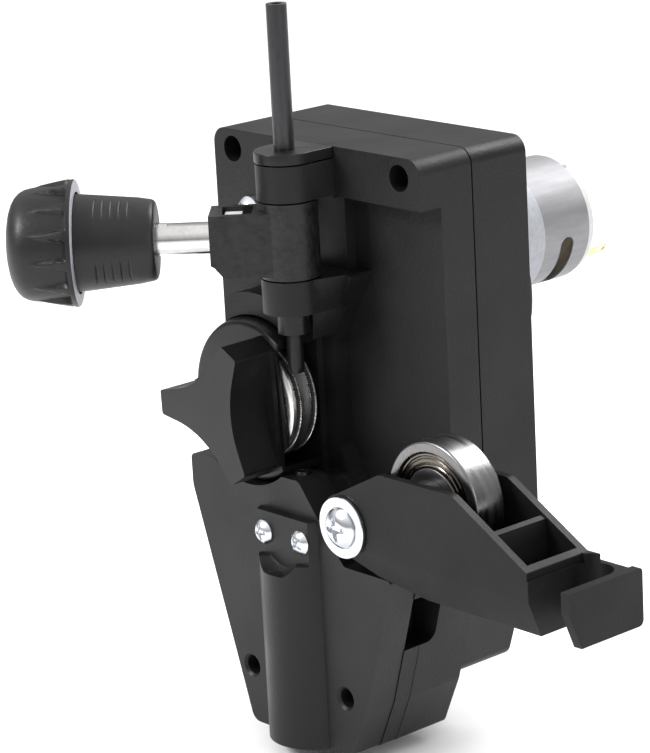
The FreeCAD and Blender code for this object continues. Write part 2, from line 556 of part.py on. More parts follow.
def bearing_balls():
    x, z = bearing_place()
    y = BEARING_FRONT_Y + BEARING_WIDTH / 2
    balls = []
    for k in range(8):
        a = 2 * math.pi * k / 8
        balls.append(Part.makeSphere(2.3, Vector(x + 10.25 * math.cos(a), y, z + 10.25 * math.sin(a))))
    return Part.makeCompound(balls)


def bearing_cage():
    x, z = bearing_place()
    y = BEARING_FRONT_Y + BEARING_WIDTH / 2
    ring = tube_y(x, z, 10.9, 9.6, y - 2.9, y + 2.9)
    for k in range(8):
        a = 2 * math.pi * k / 8
        ring = ring.cut(rod(x, y, z, (math.cos(a), 0, math.sin(a)), 2.4, 14))
    return ring


# ---- drive --------------------------------------------------------------------------------------
def drive_roll():
    back = ROLL_WIDTH
    depth = ROLL_R - GROOVE_DEPTH
    profile = [(0, 5.0), (0, ROLL_R - 0.4), (0.4, ROLL_R)]
    for middle in (2.1, 6.9):
        profile += [(middle - 0.5, ROLL_R), (middle, depth), (middle + 0.5, ROLL_R)]
    profile += [(back - 0.4, ROLL_R), (back, ROLL_R - 0.4), (back, 5.0)]
    roll = turned(profile, (ROLL_X, ROLL_FRONT_Y, ROLL_Z), (0, 1, 0))
    return roll.cut(box(ROLL_X - 1.5, ROLL_X + 1.5, -10, 10, ROLL_Z + 4, ROLL_Z + 6.6))


def output_shaft():
    y0 = ROLL_FRONT_Y + 0.2
    shaft = along_y(ROLL_X, ROLL_Z, 4.95, y0, 26.0).fuse(along_y(ROLL_X, ROLL_Z, 3.95, 26.0, BACK_Y - 1.0))
    collar = along_y(ROLL_X, ROLL_Z, 7.0, ROLL_FRONT_Y + ROLL_WIDTH + 0.02, FRONT_Y - 0.6)
    shaft = shaft.fuse(collar)
    key_seat = box(ROLL_X - 1.5, ROLL_X + 1.5, y0 - 1, ROLL_FRONT_Y + ROLL_WIDTH, ROLL_Z + 3.4, ROLL_Z + 6)
    shaft = shaft.cut(key_seat)
    return shaft.cut(along_y(ROLL_X, ROLL_Z, 2.5, -20, 14.0)).removeSplitter()


def drive_key():
    return box(ROLL_X - 1.45, ROLL_X + 1.45, ROLL_FRONT_Y + 0.3, ROLL_FRONT_Y + ROLL_WIDTH - 0.1,
               ROLL_Z + 3.45, ROLL_Z + 6.5)


def mesh_angle(x0, z0, x1, z1):
    return math.atan2(z1 - z0, x1 - x0)


def output_gear():
    toward = mesh_angle(ROLL_X, ROLL_Z, AXLE_X, AXLE_Z)
    return gear(ROLL_X, ROLL_Z, OUTPUT_TEETH, MODULE_SLOW, 18.6, 26.0, 4.97, toward)


def intermediate_pinion():
    toward = mesh_angle(AXLE_X, AXLE_Z, ROLL_X, ROLL_Z) + math.pi / SMALL_TEETH
    pinion = gear(AXLE_X, AXLE_Z, SMALL_TEETH, MODULE_SLOW, 18.2, 27.4, 3.4, toward)
    return pinion.cut(tube_y(AXLE_X, AXLE_Z, 12, 5.0, 26.6, 30))


def intermediate_gear():
    toward = mesh_angle(AXLE_X, AXLE_Z, MOTOR_X, MOTOR_Z)
    wheel = gear(AXLE_X, AXLE_Z, WHEEL_TEETH, MODULE_FAST, 27.6, 33.6, 3.4, toward)
    return wheel


def intermediate_hub():
    return tube_y(AXLE_X, AXLE_Z, 3.4, 2.0 + FIT, RECESS_Y + WALL + 0.3, 36.5)


def intermediate_axle():
    return along_y(AXLE_X, AXLE_Z, 2.0, RECESS_Y + WALL - 1.0, BACK_Y - 1.0)


def output_bush(y0, y1, outer, inner):
    return tube_y(ROLL_X, ROLL_Z, outer, inner + FIT, y0, y1)


def roll_knob_washer():
    return tube_y(ROLL_X, ROLL_Z, 8.7, 2.7, ROLL_FRONT_Y - 1.2, ROLL_FRONT_Y - 0.1)


STAR_BACK_Y, STAR_BASE, STAR_FRONT_Y = -4.1, 1.3, -16.3


def star_corners(radius, half_tip, waist, round_r):
    """Three blunt tips with hollow sides between them, as one rounded outline."""
    corners = []
    for k in range(3):
        tip = math.radians(62.0 - 120.0 * k)
        for side in (1, -1):
            u = radius * math.cos(tip) - side * half_tip * math.sin(tip)
            v = radius * math.sin(tip) + side * half_tip * math.cos(tip)
            corners.append((ROLL_X + u, ROLL_Z + v, round_r))
        middle = tip - math.radians(60)
        corners.append((ROLL_X + waist * math.cos(middle), ROLL_Z + waist * math.sin(middle), 26.0))
    return corners


def roll_knob():
    star = plate_y(star_corners(STAR_R, 3.1, 6.6, 0.8), STAR_FRONT_Y, STAR_BACK_Y)
    base = []
    for k in range(3):
        tip = math.radians(62.0 - 120.0 * k)
        for side in (1, -1):
            u = STAR_R * math.cos(tip) - side * 3.1 * math.sin(tip)
            v = STAR_R * math.sin(tip) + side * 3.1 * math.cos(tip)
            base.append((ROLL_X + u, ROLL_Z + v, 0.8))
    body = join([star, plate_y(base, STAR_BACK_Y - STAR_BASE, STAR_BACK_Y)])
    return body.cut(along_y(ROLL_X, ROLL_Z, 4.5, -10.0, 0))


def roll_knob_screw():
    insert = along_y(ROLL_X, ROLL_Z, 4.5, -10.0, STAR_BACK_Y)
    return insert.fuse(along_y(ROLL_X, ROLL_Z, 2.45, -10.0, 9.0)).removeSplitter()


# ---- motor --------------------------------------------------------------------------------------
def motor_can():
    can = along_y(MOTOR_X, MOTOR_Z, MOTOR_R, BACK_Y - 1.0, MOTOR_BACK_Y)
    can = can.cut(along_y(MOTOR_X, MOTOR_Z, MOTOR_R - 1.0, BACK_Y + 0.6, MOTOR_BACK_Y + 1))
    can = can.cut(along_y(MOTOR_X, MOTOR_Z, 6.5, 0, 60))
    for side in (-1, 1):
        can = can.cut(along_y(MOTOR_X + side * 12.5, MOTOR_Z, 1.3, 0, 50))
        vent = tube_y(MOTOR_X, MOTOR_Z, MOTOR_R + 1, MOTOR_R - 2, MOTOR_BACK_Y - 10.1, MOTOR_BACK_Y - 5.5)
        low, high = math.radians(-64), math.radians(-14)
        sector = [(MOTOR_X, MOTOR_Z, 0), (MOTOR_X + side * 30 * math.cos(low), MOTOR_Z + 30 * math.sin(low), 0),
                  (MOTOR_X + side * 30 * math.cos(high), MOTOR_Z + 30 * math.sin(high), 0)]
        can = can.cut(vent.common(plate_y(sector, 40, 100)))
        for angle in (low, high):
            toward = (side * math.cos(angle), 0, math.sin(angle))
            can = can.cut(rod(MOTOR_X, MOTOR_BACK_Y - 7.8, MOTOR_Z, toward, 2.3, 20))
    return can


def flux_ring():
    return tube_y(MOTOR_X, MOTOR_Z, MOTOR_R + 0.9, MOTOR_R + 0.01, BACK_Y + 0.1, 69.6)


def motor_endcap():
    profile = [(0, 4.0), (0, MOTOR_R - 1.0), (2.0, MOTOR_R - 1.0), (2.05, MOTOR_R - 0.3), (4.2, MOTOR_R - 0.6)]
    profile += [(5.0, MOTOR_R - 1.6), (5.0, 7.0), (6.6, 6.4), (6.6, 2.6), (4.6, 2.6), (4.6, 4.0)]
    cap = turned(profile, (MOTOR_X, MOTOR_BACK_Y - 2.0, MOTOR_Z), (0, 1, 0))
    for angle in (-122, 58):
        notch = box(MOTOR_R - 2.2, MOTOR_R + 2, MOTOR_BACK_Y - 0.1, MOTOR_BACK_Y + 6, -2.0, 2.0)
        notch.rotate(Vector(0, 0, 0), Vector(0, 1, 0), -angle)
        notch.translate(Vector(MOTOR_X, 0, MOTOR_Z))
        cap = cap.cut(notch)
    return cap


def motor_terminals():
    blades = []
    for angle in (-42, 138):
        foot, tip = MOTOR_BACK_Y + 3.0, MOTOR_BACK_Y + 12.0
        blade = plate_x([(foot, -1.5, 0), (foot, 1.5, 0), (tip, 1.5, 1.4), (tip, -1.5, 1.4)], 13.1, 13.6)
        near, far = tip - 3.8, tip - 0.7
        eye = plate_x([(near, -0.8, 0.7), (near, 0.8, 0.7), (far, 0.8, 0.7), (far, -0.8, 0.7)], 12, 15)
        blade = blade.cut(eye)
        blade.rotate(Vector(0, 0, 0), Vector(0, 1, 0), -angle)
        blade.translate(Vector(MOTOR_X, 0, MOTOR_Z))
        blades.append(blade)
    return Part.makeCompound(blades)


def motor_magnets():
    shells = []
    ring = tube_y(MOTOR_X, MOTOR_Z, MOTOR_R - 1.0, 11.6, 48.0, 76.0)
    for side in (-1, 1):
        gap = box(MOTOR_X - 20, MOTOR_X + 20, 40, 80, MOTOR_Z - 3.5, MOTOR_Z + 3.5)
        half = box(MOTOR_X - 20, MOTOR_X + 20, 40, 80, MOTOR_Z if side > 0 else MOTOR_Z - 20,
                   MOTOR_Z + 20 if side > 0 else MOTOR_Z)
        shells.append(ring.common(half).cut(gap))
    return Part.makeCompound(shells)


def motor_bush():
    return tube_y(MOTOR_X, MOTOR_Z, 6.5, 1.6 + FIT, BACK_Y - 4.4, BACK_Y + 2.6)


def motor_rear_bush():
    return tube_y(MOTOR_X, MOTOR_Z, 4.0, 1.6 + FIT, MOTOR_BACK_Y - 2.0, MOTOR_BACK_Y + 2.5)


def motor_brushes():
    brushes = []
    for side in (-1, 1):
        x0, x1 = sorted((MOTOR_X + side * 5.1, MOTOR_X + side * 10.5))
        brushes.append(box(x0, x1, 78.6, 82.6, MOTOR_Z - 1.6, MOTOR_Z + 1.6))
    return Part.makeCompound(brushes)


def motor_screws():
    screws = []
    for side in (-1, 1):
        screws.append(pan_screw(MOTOR_X + side * 12.5, BACK_Y - WALL, MOTOR_Z, (0, -1, 0), 2.7, 1.7, 1.3, 4.2))
    return Part.makeCompound(screws)


def motor_shaft():
    return along_y(MOTOR_X, MOTOR_Z, 1.6, 27.2, MOTOR_BACK_Y + 2.2)


def motor_pinion():
    toward = mesh_angle(MOTOR_X, MOTOR_Z, AXLE_X, AXLE_Z) + math.pi / PINION_TEETH
    return gear(MOTOR_X, MOTOR_Z, PINION_TEETH, MODULE_FAST, 27.4, 34.4, 1.6, toward)


def armature():
    core = tube_y(MOTOR_X, MOTOR_Z, 11.0, 1.6, 50.0, 74.0)
    for k in range(5):
        slot = box(-0.9, 0.9, 49, 75, 6.0, 12.0)
        slot.rotate(Vector(0, 0, 0), Vector(0, 1, 0), 72 * k)
        slot.translate(Vector(MOTOR_X, 0, MOTOR_Z))
        core = core.cut(slot)
    return core


def windings():
    """The copper coil heads at both ends of the armature."""
    front = [(46.6, 5.4), (46.4, 8.0), (47.2, 10.2), (48.6, 11.0), (49.9, 11.0), (49.9, 5.4)]
    rear = [(74.1, 5.4), (74.1, 11.0), (76.2, 11.0), (77.4, 10.2), (78.2, 8.0), (78.0, 5.4)]
    return Part.makeCompound([turned(profile, (MOTOR_X, 0, MOTOR_Z), (0, 1, 0)) for profile in (front, rear)])


def commutator():
    return tube_y(MOTOR_X, MOTOR_Z, 5.0, 1.6, 77.6, 83.6)


# ---- tension screw ------------------------------------------------------------------------------
SHAFT_DIRECTION = (math.cos(math.radians(SHAFT_ANGLE)), math.sin(math.radians(SHAFT_ANGLE)), 0)


def on_shaft(profile):
    return turned(profile, (0, 0, SHAFT_Z), SHAFT_DIRECTION)


def swung(shape):
    """Turn a shape that was built along +X about the wire line, onto the opened tension screw."""
    shape.rotate(Vector(0, 0, 0), Vector(0, 0, 1), SHAFT_ANGLE)
    return shape


def tension_bracket():
    z0, z1 = KNUCKLE
    body = along_z(0, 0, BOSS_R, z0, z1)
    half = 6.2
    arm = box(0, BRACKET_END, -half, half, z0 + 1.0, z1 - 2.2)
    body = join([body, arm])
    channel = box(8.4, BRACKET_END - 2.9, -half + 2.0, half - 2.0, SHAFT_Z - 5.2, z1 + 5)
    body = body.cut(channel)
    body = body.cut(rod(7.6, 0, SHAFT_Z, (1, 0, 0), SHAFT_R + 0.05, 30))
    corner = [(BRACKET_END - 3.2, z0 + 1.0, 0), (BRACKET_END + 1, z0 + 1.0, 0), (BRACKET_END + 1, z0 + 5.0, 0),
              (BRACKET_END - 0.9, z0 + 3.8, 0)]
    body = body.cut(plate_y(corner, -20, 20))
    body = body.cut(along_z(0, 0, 4.0 + FIT, 100, 150))
    return swung(body)


def tension_shaft():
    thick = 44.0
    flat = box(BRACKET_END + 0.5, 29.0, -5, 5, SHAFT_Z + SHAFT_R - 0.45, SHAFT_Z + 5)
    body = rod(9.0, 0, SHAFT_Z, (1, 0, 0), SHAFT_R, thick - 9.0)
    body = body.fuse(rod(thick, 0, SHAFT_Z, (1, 0, 0), SPINDLE_R, 61.0 - thick)).cut(flat)
    return swung(body.removeSplitter())


def shaft_nut():
    """Keeps the tension shaft in the bracket's channel."""
    nut = rod(11.0, 0, SHAFT_Z, (1, 0, 0), 6.4, 4.2).common(box(10, 16, -4.1, 4.1, SHAFT_Z - 4.6, SHAFT_Z + 5.4))
    return swung(nut.cut(rod(5, 0, SHAFT_Z, (1, 0, 0), SHAFT_R, 20)))


def tension_sleeve():
    start, end = SLEEVE_START, SLEEVE_END
    profile = [(start, SHAFT_R + 0.1), (start, 8.9), (start + 0.4, 9.6), (start + 1.4, 9.95), (45.0, 11.6)]
    profile += [(end, 12.05), (end, 9.6), (start + 2.6, 8.0), (start + 2.6, SHAFT_R + 0.1)]
    return on_shaft(profile)


def tension_spring():
    return helix_spring(6.0, 0.8, SLEEVE_START + 3.5, 19.6, 7, (0, 0, SHAFT_Z), SHAFT_DIRECTION)


def thrust_washer():
    return on_shaft([(55.75, SPINDLE_R + 0.1), (55.75, 7.4), (56.75, 7.4), (56.75, SPINDLE_R + 0.1)])


def tension_knob():
    s = KNOB_START
    profile = [(s, 12.3), (s, KNOB_R - 0.9), (s + 0.5, KNOB_R), (s + 1.9, KNOB_R), (s + 2.4, KNOB_R - 0.9)]
    profile += [(s + 8.6, 13.95), (s + 11.9, 13.05), (s + 14.2, 11.25), (s + 15.8, 8.3), (s + 16.8, 4.1)]
    profile += [(KNOB_END, 0), (65.0, 0), (65.0, 4.6), (56.9, 4.6), (56.9, 6.6), (64.0, 6.6), (64.0, 10.6)]
    profile += [(61.0, 12.3)]
    return on_shaft(profile)


def tension_knob_insert():
    return on_shaft([(56.9, SPINDLE_R + 0.02), (56.9, 4.6), (65.0, 4.6), (65.0, SPINDLE_R + 0.02)])


PARTS = {
    "front_shell": front_shell, "rear_shell": rear_shell, "outlet_block": outlet_block,
    "hinge_cap": hinge_cap, "roll_guard": roll_guard, "hinge_pin": hinge_pin, "inlet_tube": inlet_tube,
    "guide_nozzle": guide_nozzle, "outlet_guide": outlet_guide, "torch_socket": torch_socket,
    "clamp_screws": clamp_screws, "cover_screw": cover_screw, "shell_screws": shell_screws,
    "block_screws": block_screws, "pressure_arm": pressure_arm, "pivot_bush": pivot_bush,
    "pivot_screw": pivot_screw, "bearing_axle": bearing_axle, "bearing_spacers": bearing_spacers,
    "bearing_inner_ring": bearing_inner_ring, "bearing_outer_ring": bearing_outer_ring,
    "bearing_shields": bearing_shields, "bearing_balls": bearing_balls, "bearing_cage": bearing_cage,
    "drive_roll": drive_roll, "output_shaft": output_shaft, "drive_key": drive_key,
    "output_gear": output_gear,
    "output_bush_front": lambda: output_bush(FRONT_Y, FRONT_Y + 8.6, 8.0, 4.95),
    "output_bush_rear": lambda: output_bush(BACK_Y - 7.5, BACK_Y - 0.6, 5.5, 3.95),
    "intermediate_gear": intermediate_gear, "intermediate_pinion": intermediate_pinion,
    "intermediate_hub": intermediate_hub, "intermediate_axle": intermediate_axle,
    "roll_knob_washer": roll_knob_washer, "roll_knob": roll_knob, "roll_knob_screw": roll_knob_screw,
    "motor_can": motor_can, "flux_ring": flux_ring, "motor_endcap": motor_endcap,
    "motor_terminals": motor_terminals, "motor_magnets": motor_magnets, "motor_bush": motor_bush,
    "motor_rear_bush": motor_rear_bush, "motor_brushes": motor_brushes, "motor_screws": motor_screws,
    "motor_shaft": motor_shaft, "motor_pinion": motor_pinion, "armature": armature,
    "windings": windings, "commutator": commutator, "tension_bracket": tension_bracket,
    "tension_shaft": tension_shaft,
    "shaft_nut": shaft_nut, "tension_sleeve": tension_sleeve, "tension_spring": tension_spring,
    "thrust_washer": thrust_washer, "tension_knob": tension_knob, "tension_knob_insert": tension_knob_insert,
}


def main():
    os.makedirs("parts", exist_ok=True)
    for name, build in PARTS.items():
        shape = build()
        if not shape.isValid() or not shape.Solids:
            raise ValueError("bad shape: " + name)
        shape.exportStep("parts/" + name + ".step")


main()
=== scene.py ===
import bpy
import json
import math
from mathutils import Matrix, Vector


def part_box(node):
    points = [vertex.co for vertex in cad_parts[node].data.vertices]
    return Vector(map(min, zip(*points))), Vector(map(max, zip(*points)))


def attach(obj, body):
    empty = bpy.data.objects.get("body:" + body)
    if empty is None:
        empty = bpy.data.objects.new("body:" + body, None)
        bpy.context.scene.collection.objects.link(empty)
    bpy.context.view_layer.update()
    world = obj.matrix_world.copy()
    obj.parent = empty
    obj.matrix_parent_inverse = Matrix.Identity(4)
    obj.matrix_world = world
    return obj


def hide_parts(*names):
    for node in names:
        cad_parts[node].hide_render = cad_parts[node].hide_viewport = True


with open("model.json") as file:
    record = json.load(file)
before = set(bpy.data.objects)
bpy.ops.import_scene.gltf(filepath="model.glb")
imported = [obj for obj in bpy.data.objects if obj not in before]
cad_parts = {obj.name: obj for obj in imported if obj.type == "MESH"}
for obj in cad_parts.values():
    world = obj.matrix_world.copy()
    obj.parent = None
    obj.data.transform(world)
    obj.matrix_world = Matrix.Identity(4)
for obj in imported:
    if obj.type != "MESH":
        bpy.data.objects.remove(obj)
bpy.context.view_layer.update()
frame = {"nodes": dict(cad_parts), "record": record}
nodes = frame["nodes"]

MM = 0.001
joints = {joint["name"]: joint for joint in frame["record"]["behaviour"]["joints"]}


# ---- places, in millimetres, taken from the joints and nodes of the frame ------------------------
def on_axis(joint, y):
    """The point of a front-to-back joint axis that lies at y."""
    x, _, z = joints[joint]["pos_m"]
    return (x / MM, y, z / MM)


def front_of(node):
    """How far forward a node reaches: its lowest y."""
    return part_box(node)[0][1] / MM


SCREW_AXIS_START = (0.0, 0.0, joints["tension_swing"]["pos_m"][2] / MM)
SCREW_DIRECTION = tuple(joints["sleeve_slide"]["axis"])
ROLL_FRONT = on_axis("drive_spin", front_of("drive_roll"))
BEARING_FRONT = on_axis("bearing_spin", front_of("bearing_outer_ring"))
FORWARD = (0, -1, 0)
BACKWARD = (0, 1, 0)


# ---- materials -----------------------------------------------------------------------------------
RELIEF_DEPTH = 0.4 * MM
PATCH_LOW, PATCH_HIGH = 0.3, 0.7
GRAIN_IN_COLOUR = 0.25
SMOOTHEST = 0.03


def noise(tree, coords, scale, detail):
    """A noise texture on the stretched object coordinates."""
    texture = tree.nodes.new("ShaderNodeTexNoise")
    texture.inputs["Scale"].default_value = scale
    texture.inputs["Detail"].default_value = detail
    tree.links.new(coords.outputs["Vector"], texture.inputs["Vector"])
    return texture


def material(name, colour, rough, metallic=0.0, grain=900.0, bump=0.02, mottle=0.12, spread=0.08,
             stretch=(1, 1, 1), specular=0.5, patches=60.0):
    """A procedural finish: fine grain in the bump, slow patches in colour and gloss."""
    finish = bpy.data.materials.new(name)
    finish.use_nodes = True
    tree = finish.node_tree
    shader = tree.nodes["Principled BSDF"]
    shader.inputs["Metallic"].default_value = metallic
    shader.inputs["Specular IOR Level"].default_value = specular
    coords = tree.nodes.new("ShaderNodeTexCoord")
    stretched = tree.nodes.new("ShaderNodeMapping")
    stretched.inputs["Scale"].default_value = stretch
    tree.links.new(coords.outputs["Object"], stretched.inputs["Vector"])
    slow = noise(tree, stretched, patches, detail=4.0)
    fine = noise(tree, stretched, grain, detail=3.0)
    fine.inputs["Roughness"].default_value = 0.6

    tint = tree.nodes.new("ShaderNodeValToRGB")
    dark, pale = tint.color_ramp.elements
    dark.position = PATCH_LOW
    pale.position = PATCH_HIGH
    dark.color = [channel * (1 - mottle) for channel in colour] + [1]
    pale.color = [min(1.0, channel * (1 + mottle)) for channel in colour] + [1]
    tree.links.new(slow.outputs["Fac"], tint.inputs["Fac"])
    speck = tree.nodes.new("ShaderNodeMixRGB")
    speck.blend_type = "OVERLAY"
    speck.inputs["Fac"].default_value = GRAIN_IN_COLOUR
    tree.links.new(tint.outputs["Color"], speck.inputs["Color1"])
    tree.links.new(fine.outputs["Fac"], speck.inputs["Color2"])
    tree.links.new(speck.outputs["Color"], shader.inputs["Base Color"])

    gloss = tree.nodes.new("ShaderNodeMapRange")
    gloss.inputs["From Min"].default_value = PATCH_LOW
    gloss.inputs["From Max"].default_value = PATCH_HIGH
    gloss.inputs["To Min"].default_value = max(SMOOTHEST, rough - spread)
    gloss.inputs["To Max"].default_value = min(1.0, rough + spread)
    tree.links.new(slow.outputs["Fac"], gloss.inputs["Value"])
    tree.links.new(gloss.outputs["Result"], shader.inputs["Roughness"])

    relief = tree.nodes.new("ShaderNodeBump")
    relief.inputs["Strength"].default_value = bump
    relief.inputs["Distance"].default_value = RELIEF_DEPTH
    tree.links.new(fine.outputs["Fac"], relief.inputs["Height"])
    tree.links.new(relief.outputs["Normal"], shader.inputs["Normal"])
    return finish


def black_plastic(name, grey, rough, **more):
    """Black moulded plastic with a trace of blue."""
    return material(name, (grey, grey, grey + 0.0004), rough, **more)


def metal(name, colour, rough, **more):
    return material(name, colour, rough, metallic=1.0, **more)


FINISH = {
    "shell": black_plastic("shell_plastic", 0.0070, 0.46, grain=1500, bump=0.25, mottle=0.2,
                           specular=0.26),
    "block": black_plastic("block_plastic", 0.0078, 0.42, grain=1300, bump=0.16, mottle=0.15,
                           specular=0.28),
    "arm": black_plastic("arm_plastic", 0.0070, 0.50, grain=1300, bump=0.16, mottle=0.15,
                         specular=0.20),
    "satin": black_plastic("satin_plastic", 0.0060, 0.34, grain=1100, bump=0.08, mottle=0.15,
                           specular=0.30),
    "coarse": black_plastic("coarse_plastic", 0.0090, 0.40, grain=520, bump=0.5, mottle=0.6,
                            patches=420, specular=0.34),
    "grip": black_plastic("grip_plastic", 0.0090, 0.42, bump=0.18, mottle=0.15, specular=0.34),
    "nylon": material("white_nylon", (0.54, 0.54, 0.53), 0.45, grain=800, bump=0.06, mottle=0.05),
    "dark": material("sintered_dark", (0.05, 0.05, 0.052), 0.7, bump=0.2),
    "wire": material("enamelled_wire", (0.95, 0.62, 0.20), 0.45, grain=1400, bump=0.4, mottle=0.2),
    # pale grey: the flux ring's own colour, and a painted reflection on the knob cap's open end
    "band": material("pale_band_and_painted_reflection", (0.36, 0.37, 0.40), 0.48, metallic=0.1, grain=700, bump=0.03,
                     mottle=0.05),
    "tube": material("oxide_steel", (0.040, 0.040, 0.042), 0.30, metallic=0.7, grain=1400,
                     bump=0.15, mottle=0.3, stretch=(1, 1, 0.25)),
    "groove": material("dark_knurl", (0.045, 0.042, 0.04), 0.5, metallic=0.6, grain=1200,
                       bump=0.2),
    "dull": material("dull_steel", (0.12, 0.12, 0.12), 0.4, metallic=0.9, bump=0.1, mottle=0.2),
    "can": material("zinc_can", (0.27, 0.27, 0.28), 0.55, metallic=0.6, grain=500, bump=0.06,
                    mottle=0.22, stretch=(1, 0.2, 1)),
    # near-white: a painted highlight over the shaft nut's zinc plating, brighter than the plating
    # itself
    "nut": material("zinc_with_painted_highlight", (0.86, 0.86, 0.87), 0.35, metallic=0.4, grain=700, bump=0.05,
                    mottle=0.05),
    "steel": metal("turned_steel", (0.52, 0.51, 0.50), 0.28, bump=0.06, stretch=(1, 8, 1)),
    "shaft": metal("ground_steel", (0.66, 0.65, 0.64), 0.16, bump=0.04),
    "roll": metal("rolled_steel", (0.70, 0.69, 0.68), 0.30, grain=800, bump=0.05, mottle=0.1,
                  stretch=(1, 10, 1)),
    "bright": metal("polished_steel", (0.72, 0.72, 0.72), 0.13, grain=600, mottle=0.05,
                    spread=0.05, stretch=(1, 12, 1)),
    "shield": metal("browned_shield", (0.15, 0.135, 0.115), 0.22, grain=700, bump=0.08,
                    mottle=0.25),
    "race": metal("ground_race", (0.20, 0.198, 0.196), 0.30, bump=0.04, mottle=0.1,
                  stretch=(1, 12, 1)),
    "zinc": metal("zinc_plate", (0.74, 0.76, 0.79), 0.22, grain=700, bump=0.05, mottle=0.06),
    "brass": metal("brass", (0.74, 0.55, 0.22), 0.28, grain=800, bump=0.06, mottle=0.15),
    "bronze": metal("sintered_bronze", (0.55, 0.38, 0.18), 0.5, grain=1800, bump=0.2),
    "copper": metal("copper", (0.72, 0.38, 0.22), 0.3, grain=800, bump=0.05),
}

NODE_FINISH = {
    "front_shell": "shell", "rear_shell": "shell", "outlet_block": "block", "hinge_cap": "satin",
    "roll_guard": "satin", "hinge_pin": "satin", "inlet_tube": "tube", "guide_nozzle": "satin",
    "outlet_guide": "satin", "torch_socket": "brass", "clamp_screws": "zinc",
    "cover_screw": "zinc", "shell_screws": "zinc", "block_screws": "zinc", "pivot_screw": "zinc",
    "pivot_bush": "bronze", "output_bush_front": "bronze", "output_bush_rear": "bronze",
    "intermediate_axle": "steel", "motor_can": "can", "flux_ring": "band",
    "motor_endcap": "nylon", "motor_terminals": "brass", "motor_magnets": "dark",
    "motor_bush": "bronze", "motor_rear_bush": "bronze", "motor_brushes": "dark",
    "motor_screws": "zinc", "pressure_arm": "arm", "bearing_axle": "dull",
    "bearing_spacers": "dull", "bearing_inner_ring": "dull", "bearing_outer_ring": "race",
    "bearing_shields": "shield", "bearing_balls": "bright", "bearing_cage": "steel",
    "tension_bracket": "coarse", "tension_shaft": "shaft", "shaft_nut": "nut",
    "tension_sleeve": "grip", "tension_spring": "steel", "thrust_washer": "zinc",
    "tension_knob": "grip", "tension_knob_insert": "brass", "drive_roll": "roll",
    "output_shaft": "steel", "drive_key": "steel", "output_gear": "nylon",
    "roll_knob_washer": "zinc", "roll_knob": "satin", "roll_knob_screw": "brass",
    "intermediate_gear": "nylon", "intermediate_pinion": "steel", "intermediate_hub": "bronze",
    "motor_shaft": "steel", "motor_pinion": "brass", "armature": "steel", "commutator": "copper",
    "windings": "wire",
}

# the width of the rounding along each node's edges, in millimetres
ROUNDING = {
    "front_shell": 0.5, "rear_shell": 0.9, "outlet_block": 0.5, "pressure_arm": 0.4,
    "roll_guard": 0.3, "tension_bracket": 0.35, "roll_knob": 0.6, "hinge_cap": 0.3,
    "hinge_pin": 0.2, "guide_nozzle": 0.2, "flux_ring": 0.2, "motor_endcap": 0.3,
    "bearing_outer_ring": 0.6, "bearing_inner_ring": 0.4, "inlet_tube": 0.15, "shaft_nut": 0.25,
    "tension_shaft": 0.2,
}
OTHER_ROUNDING = 0.12
UNROUNDED = ("motor_can",)
WELD_GAP = 0.001
ROUNDED_ANGLE = 32
SPLIT_ANGLE = 30


def round_edges(o, width):
    """Rounds the sharp edges and keeps the large faces flat in the shading. width is in mm."""
    bevel = o.modifiers.new("edges", "BEVEL")
    bevel.width = width * MM
    bevel.segments = 2
    bevel.limit_method = "ANGLE"
    bevel.angle_limit = math.radians(ROUNDED_ANGLE)
    bevel.use_clamp_overlap = True
    bevel.harden_normals = False
    weighted = o.modifiers.new("normals", "WEIGHTED_NORMAL")
    weighted.weight = 80


def dress(node):
    """Puts the node's finish on and rounds its edges, or leaves them sharp."""
    o = nodes[node]
    o.data.materials.clear()
    o.data.materials.append(FINISH[NODE_FINISH[node]])
    for polygon in o.data.polygons:
        polygon.use_smooth = True
    weld = o.modifiers.new("weld", "WELD")
    weld.merge_threshold = WELD_GAP * MM
    if node in UNROUNDED:
        o.modifiers.new("edges", "EDGE_SPLIT").split_angle = math.radians(SPLIT_ANGLE)
    else:
        round_edges(o, ROUNDING.get(node, OTHER_ROUNDING))


for node in nodes:
    dress(node)


# ---- meshes --------------------------------------------------------------------------------------
def axis_frame(origin, direction):
    """A matrix from a turned piece's own frame (axis +Z, millimetres) to the row's, in metres."""
    turn = Vector((0, 0, 1)).rotation_difference(Vector(direction)).to_matrix().to_4x4()
    return Matrix.Translation(Vector(origin) * MM) @ turn @ Matrix.Diagonal((MM, MM, MM, 1))


def mesh_object(name, points, faces, finish, body, *replaced, sharp):
    """A mesh piece on a body, in place of the replaced nodes. Edges over sharp degrees stay so."""
    mesh = bpy.data.meshes.new(name)
    mesh.from_pydata(points, [], faces)
    mesh.validate()
    mesh.update()
    mesh.polygons.foreach_set("use_smooth", [True] * len(mesh.polygons))
    mesh.set_sharp_from_angle(angle=math.radians(sharp))
    mesh.materials.append(FINISH[finish])
    o = bpy.data.objects.new(name, mesh)
    bpy.context.scene.collection.objects.link(o)
    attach(o, body)
    if replaced:
        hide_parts(*replaced)
    return o


def ring_faces(first, second, steps):
    """The faces between two rings of points, given by the index of each one's first point."""
    return [(first + k, first + (k + 1) % steps, second + (k + 1) % steps, second + k)
            for k in range(steps)]


def lathe(name, profile, origin, direction, finish, body, *replaced, steps, shape=None, sharp=35):
    """Turns a closed outline of (distance along the axis, radius) points about an axis.
    shape(angle, along, radius) gives a point's own radius and distance, for ribs and knurls."""
    place = axis_frame(origin, direction)
    points = []
    for along, radius in profile:
        for k in range(steps):
            angle = 2 * math.pi * k / steps
            r, z = (radius, along) if shape is None else shape(angle, along, radius)
            points.append(place @ Vector((r * math.cos(angle), r * math.sin(angle), z)))
    faces = []
    for i in range(len(profile)):
        faces += ring_faces(i * steps, (i + 1) % len(profile) * steps, steps)
    return mesh_object(name, points, faces, finish, body, *replaced, sharp=sharp)


